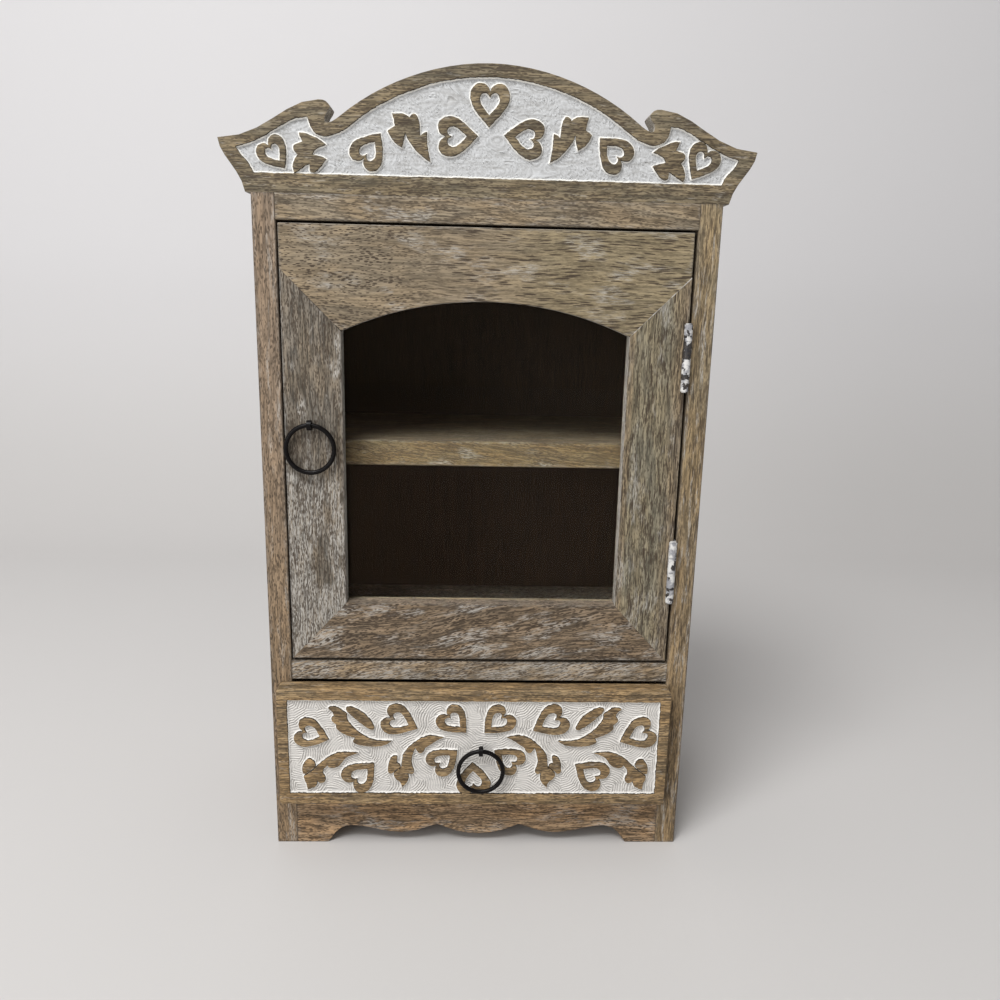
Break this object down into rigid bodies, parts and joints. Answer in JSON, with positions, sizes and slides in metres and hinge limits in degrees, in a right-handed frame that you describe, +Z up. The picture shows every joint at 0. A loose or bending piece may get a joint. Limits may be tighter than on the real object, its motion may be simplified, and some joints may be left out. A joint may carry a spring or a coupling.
{
  "type": "tabletop cabinet",
  "caption": "Small whitewashed wooden tabletop cabinet with an arched glass door, a carved drawer with ring pull, a scalloped apron and a carved pediment.",
  "frame": {"origin": "middle of the bounding box's foot, on the surface that the cabinet stands on", "axes": "+X to the right as seen from the front, +Y from front to back, +Z up"},
  "size_m": [0.293, 0.1686, 0.4695],
  "materials": {
    "whitewashed_wood": "open-grained hardwood, rubbed with white wash",
    "carved_wood": "hardwood carved in low relief, the ground painted white",
    "bare_wood": "planed, unfinished",
    "plywood": "thin plywood, unfinished",
    "black_iron": "black lacquered iron wire",
    "hinge_metal": "chipped white paint over dark steel",
    "bright_steel": "zinc plated",
    "catch_plastic": "moulded, matt",
    "magnet": "sintered, dull",
    "clear_glass": "clear window glass"
  },
  "bodies": {
    "cabinet": {"left_side": "whitewashed_wood", "right_side": "whitewashed_wood", "top_board": "whitewashed_wood", "divider_board": "whitewashed_wood", "shelf": "whitewashed_wood", "bottom_board": "whitewashed_wood", "back_panel": "plywood", "apron": "whitewashed_wood", "pediment": "carved_wood", "pediment_screws": "bright_steel", "side_brads": "bright_steel", "back_tacks": "bright_steel", "upper_hinge_frame_leaf": "hinge_metal", "lower_hinge_frame_leaf": "hinge_metal", "upper_hinge_pin": "hinge_metal", "lower_hinge_pin": "hinge_metal", "frame_hinge_screws": "hinge_metal", "catch_case": "catch_plastic", "catch_magnet": "magnet", "catch_screws": "bright_steel"},
    "door": {"door_top_rail": "whitewashed_wood", "door_bottom_rail": "whitewashed_wood", "door_left_stile": "whitewashed_wood", "door_right_stile": "whitewashed_wood", "glass_pane": "clear_glass", "glass_bead_top": "bare_wood", "glass_bead_bottom": "bare_wood", "glass_bead_left": "bare_wood", "glass_bead_right": "bare_wood", "bead_pins": "bright_steel", "upper_hinge_door_leaf": "hinge_metal", "lower_hinge_door_leaf": "hinge_metal", "door_hinge_screws": "hinge_metal", "strike_plate": "bright_steel", "strike_screws": "bright_steel", "door_split_pin": "black_iron"},
    "door_pull": {"door_ring": "black_iron"},
    "drawer": {"drawer_front": "carved_wood", "drawer_inner_front": "bare_wood", "drawer_left": "bare_wood", "drawer_right": "bare_wood", "drawer_back": "bare_wood", "drawer_bottom": "plywood", "drawer_brads": "bright_steel", "drawer_screws": "bright_steel", "drawer_split_pin": "black_iron"},
    "drawer_pull": {"drawer_ring": "black_iron"}
  },
  "joints": [
    {"name": "door_hinge", "type": "hinge", "parent": "cabinet", "child": "door", "pos_m": [0.1148, -0.0683, 0.2525], "axis": [0, 0, 1], "range_deg": [0, 175]},
    {"name": "door_ring_swing", "type": "hinge", "parent": "door", "child": "door_pull", "pos_m": [-0.1014, -0.0689, 0.2745], "axis": [-1, 0, 0], "range_deg": [0, 170]},
    {"name": "drawer_slide", "type": "slide", "parent": "cabinet", "child": "drawer", "axis": [0, -1, 0], "range_m": [0, 0.115]},
    {"name": "drawer_ring_swing", "type": "hinge", "parent": "drawer", "child": "drawer_pull", "pos_m": [0.0008, -0.0813, 0.0744], "axis": [-1, 0, 0], "range_deg": [0, 170]}
  ]
}
